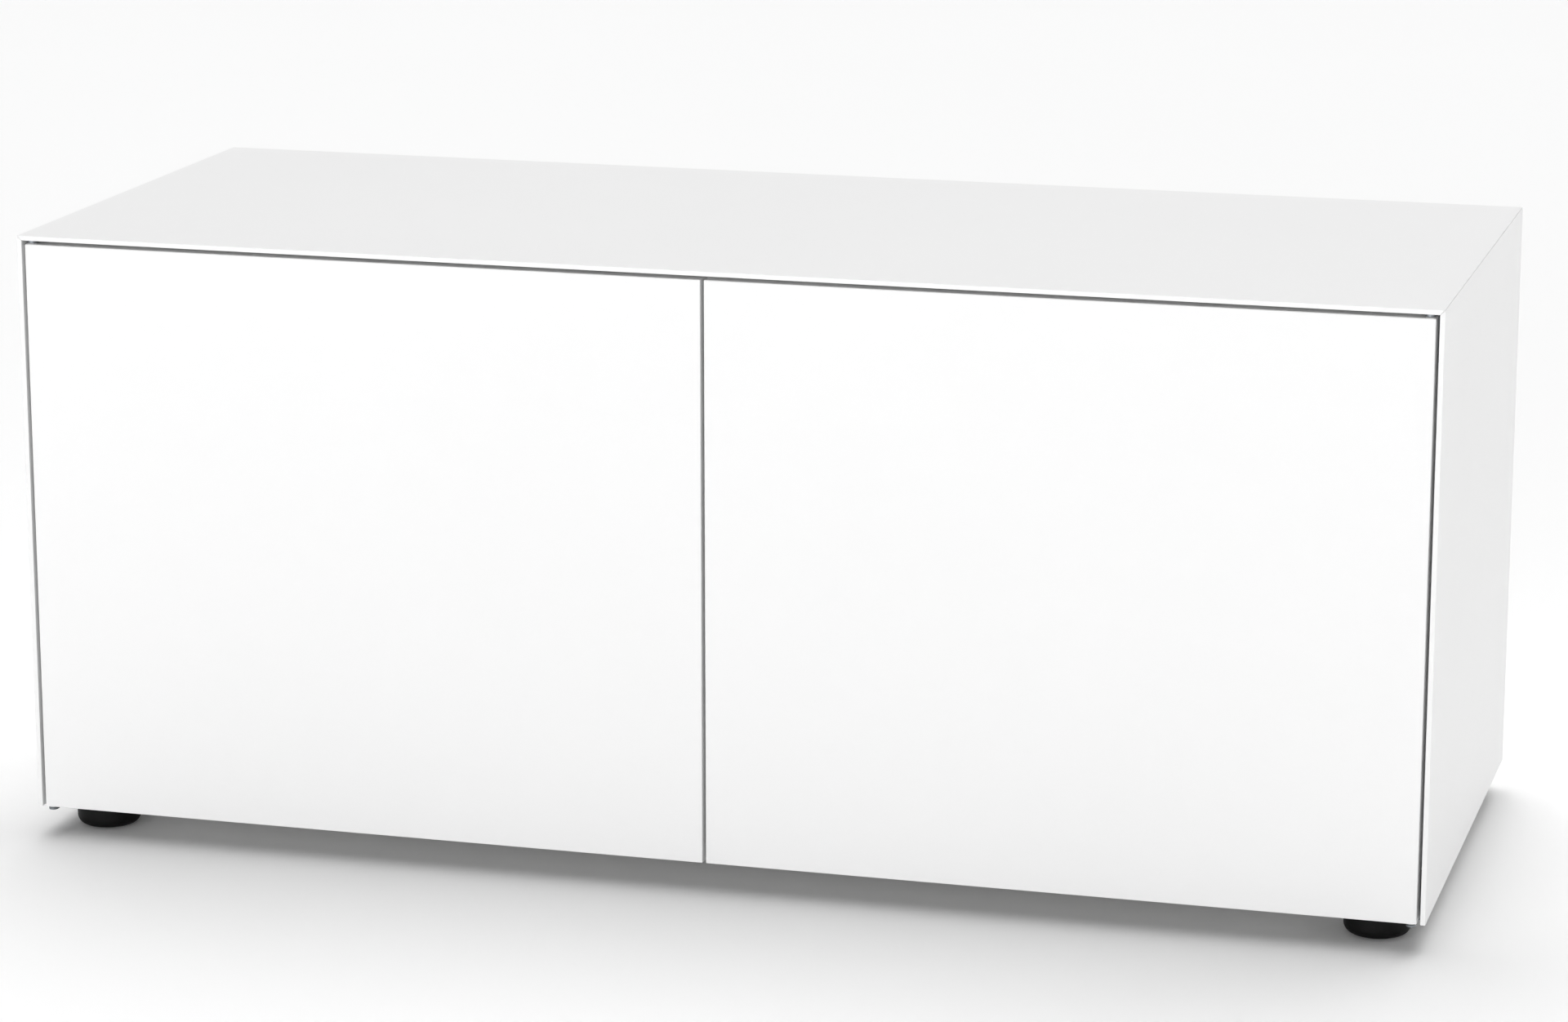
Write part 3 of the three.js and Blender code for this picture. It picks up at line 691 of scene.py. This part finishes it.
def black_rubber():
    """Moulded rubber: dull black with a fine dusty grain."""
    made, tree, place, shader = new_material("black_rubber")
    dust = node(tree, "ShaderNodeTexNoise", {"Scale": 1 / RUBBER_DUST, "Detail": 4.0}, {"Vector": place})
    tone = node(tree, "ShaderNodeMix", {"data_type": "RGBA", 6: linear("#101010"), 7: linear("#1f1f1e")},
                {0: dust.outputs["Fac"]})
    tree.links.new(tone.outputs[2], shader.inputs["Base Color"])
    gloss = node(tree, "ShaderNodeMapRange", {"To Min": 0.8, "To Max": 0.95},
                 {"Value": dust.outputs["Fac"]})
    tree.links.new(gloss.outputs["Result"], shader.inputs["Roughness"])
    bump = node(tree, "ShaderNodeBump", {"Strength": 0.3, "Distance": 0.00008},
                {"Height": dust.outputs["Fac"]})
    tree.links.new(bump.outputs["Normal"], shader.inputs["Normal"])
    return made


def threaded_stud(low, high):
    """A stud with a real helical thread, closed at both ends."""
    mesh = bmesh.new()
    middle = (low + high) / 2
    crest = (high.x - low.x) / 2
    length = high.z - low.z
    rings = []
    levels = int(length / STUD_PITCH) * THREAD_LEVELS + 1
    for level in range(levels):
        ring = []
        z = low.z + length * level / (levels - 1)
        for i in range(THREAD_STEPS):
            angle = 2 * math.pi * i / THREAD_STEPS
            phase = ((z - low.z) / STUD_PITCH - i / THREAD_STEPS) % 1.0
            depth = THREAD_DEPTH * abs(2 * phase - 1)
            taper = min(1.0, min(level, levels - 1 - level) / THREAD_LEVELS)
            radius = crest - THREAD_DEPTH + (THREAD_DEPTH - depth) * taper
            ring.append(mesh.verts.new((middle.x + radius * math.cos(angle),
                                        middle.y + radius * math.sin(angle), z)))
        rings.append(ring)
    for lower, upper in zip(rings, rings[1:]):
        for i in range(THREAD_STEPS):
            j = (i + 1) % THREAD_STEPS
            mesh.faces.new((lower[i], lower[j], upper[j], upper[i]))
    mesh.faces.new(list(reversed(rings[0])))
    mesh.faces.new(rings[-1])
    smooth(mesh)
    return mesh


rubber = black_rubber()
for row in ("front", "rear"):
    for side in ("left", "right"):
        body = f"{row}_{side}_foot"
        low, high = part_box(body)
        axis_point = centre(body)
        axis_point.z = 0
        radius = (high.x - low.x) / 2
        pad_low, pad_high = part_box(body + "_pad")
        pad_radius = (pad_high.x - pad_low.x) / 2
        recess = pad_radius + PAD_FIT
        ceiling = pad_high.z + PAD_FIT
        arc = [math.pi / 2 * i / FOOT_STEPS for i in range(FOOT_STEPS + 1)]
        outline = [(0, ceiling), (recess, ceiling), (recess, low.z)]
        outline += [(radius - FOOT_ROUND + FOOT_ROUND * math.sin(a),
                     low.z + FOOT_ROUND * (1 - math.cos(a))) for a in arc]
        outline += filleted([(radius, high.z - FOOT_RIM), (radius, high.z), (STUD_BORE, high.z),
                             (STUD_BORE, STUD_SEAT), (0, STUD_SEAT)], FOOT_RIM_ROUND)
        finish_piece(turned(outline, 2 * ROUND_STEPS, (0, 0, 1), axis_point), "moulded_" + body,
                     black_polypropylene, body, [body])
        ridges = [(0, PAD_RIB_HEIGHT)]
        for ring in range(1, int(pad_radius / PAD_RIB_PITCH)):
            middle = ring * PAD_RIB_PITCH
            ridges += [(middle - PAD_RIB_FOOT, PAD_RIB_HEIGHT), (middle - PAD_RIB_TIP, 0),
                       (middle + PAD_RIB_TIP, 0), (middle + PAD_RIB_FOOT, PAD_RIB_HEIGHT)]
        ridges += [(pad_radius - PAD_RIB_PITCH / 2, 0), (pad_radius, PAD_RIB_HEIGHT),
                   (pad_radius, pad_high.z), (0, pad_high.z)]
        finish_piece(turned(ridges, ROUND_STEPS, (0, 0, 1), axis_point), "moulded_" + body + "_pad",
                     rubber, body, [body + "_pad"])
        finish_piece(threaded_stud(*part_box(body + "_stud")), "threaded_" + body + "_stud",
                     zinc, body, [body + "_stud"])
        finish_piece(eased(body + "_nut", NUT_EASE, 1), "pressed_" + body + "_nut",
                     zinc, "cabinet", [body + "_nut"])


# ---------------------------------------------------------------------------
# Floor, light and camera.
# A seamless pale sweep with pale walls far off, under broad soft light from above, from in
# front and from the right.
FLOOR_REACH = 40.0
LENS = 108.9
SENSOR = 36.0
CAMERA_PLACE = (1.0803, -3.8437, 1.2360)
CAMERA_TURN = 0.2736
CAMERA_TILT = 0.2373
VIEW_REACH = 100
SWEEP_CLOUD = 1.25            # width of the faint changes of tone in the paint
WALL_TOP = (0.12, 0.45)     # the pale walls fade out between these heights


def pale_sweep():
    """Painted sweep: a flat, very pale grey."""
    made, tree, place, shader = new_material("pale_sweep")
    cloud = node(tree, "ShaderNodeTexNoise", {"Scale": 1 / SWEEP_CLOUD, "Detail": 2.0}, {"Vector": place})
    tone = node(tree, "ShaderNodeMix", {"data_type": "RGBA", 6: linear("#fbfbfb"), 7: linear("#fdfdfd")},
                {0: cloud.outputs["Fac"]})
    tree.links.new(tone.outputs[2], shader.inputs["Base Color"])
    shader.inputs["Roughness"].default_value = 0.9
    shader.inputs["Specular IOR Level"].default_value = 0.1
    return made


floor_mesh = bmesh.new()
bmesh.ops.create_grid(floor_mesh, x_segments=1, y_segments=1, size=FLOOR_REACH)
floor = plain_mesh("floor", floor_mesh)
floor.data.materials.append(pale_sweep())

world = bpy.data.worlds.new("studio")
bpy.context.scene.world = world
world.use_nodes = True
walls = world.node_tree
height = node(walls, "ShaderNodeSeparateXYZ",
              links={"Vector": node(walls, "ShaderNodeTexCoord").outputs["Generated"]})
fall = node(walls, "ShaderNodeMapRange", {
    "From Min": WALL_TOP[0], "From Max": WALL_TOP[1], "To Min": 1.0, "To Max": 0.0},
    {"Value": height.outputs["Z"]})
walls.nodes["Background"].inputs["Color"].default_value = (1, 1, 1, 1)
walls.links.new(fall.outputs["Result"], walls.nodes["Background"].inputs["Strength"])


def lamp(name, kind, place, target, power):
    """A lamp at a place, turned to face a point."""
    data = bpy.data.lights.new(name, kind)
    data.energy = power
    made = bpy.data.objects.new(name, data)
    bpy.context.scene.collection.objects.link(made)
    made.location = place
    made.rotation_euler = (Vector(target) - Vector(place)).to_track_quat("-Z", "Y").to_euler()
    return data


for name, place, size, power in (("front_soft_box", (-1.0, -7.0, 0.9), (7.0, 1.6), 200),
                                 ("right_soft_box", (5.5, 0.0, 0.8), (5.0, 1.4), 30)):
    soft_box = lamp(name, "AREA", place, (0, 0, 0.3), power)
    soft_box.shape = "RECTANGLE"
    soft_box.size, soft_box.size_y = size
for name, place, strength, spread in (("rear_overhead", (-0.1, 1.1, 2.0), 1.93, 1.1),
                                      ("overhead", (0.0, 0.0, 2.0), 1.1, 1.3)):
    overhead = lamp(name, "SUN", place, (0, 0, 0), strength)
    overhead.angle = spread

camera_data = bpy.data.cameras.new("camera")
camera_data.lens = LENS
camera_data.sensor_width = SENSOR
camera_data.clip_end = VIEW_REACH
camera = bpy.data.objects.new("camera", camera_data)
bpy.context.scene.collection.objects.link(camera)
camera.location = CAMERA_PLACE
camera.rotation_euler = (math.pi / 2 - CAMERA_TILT, 0, CAMERA_TURN)
bpy.context.scene.camera = camera
bpy.context.scene.view_settings.view_transform = "Standard"
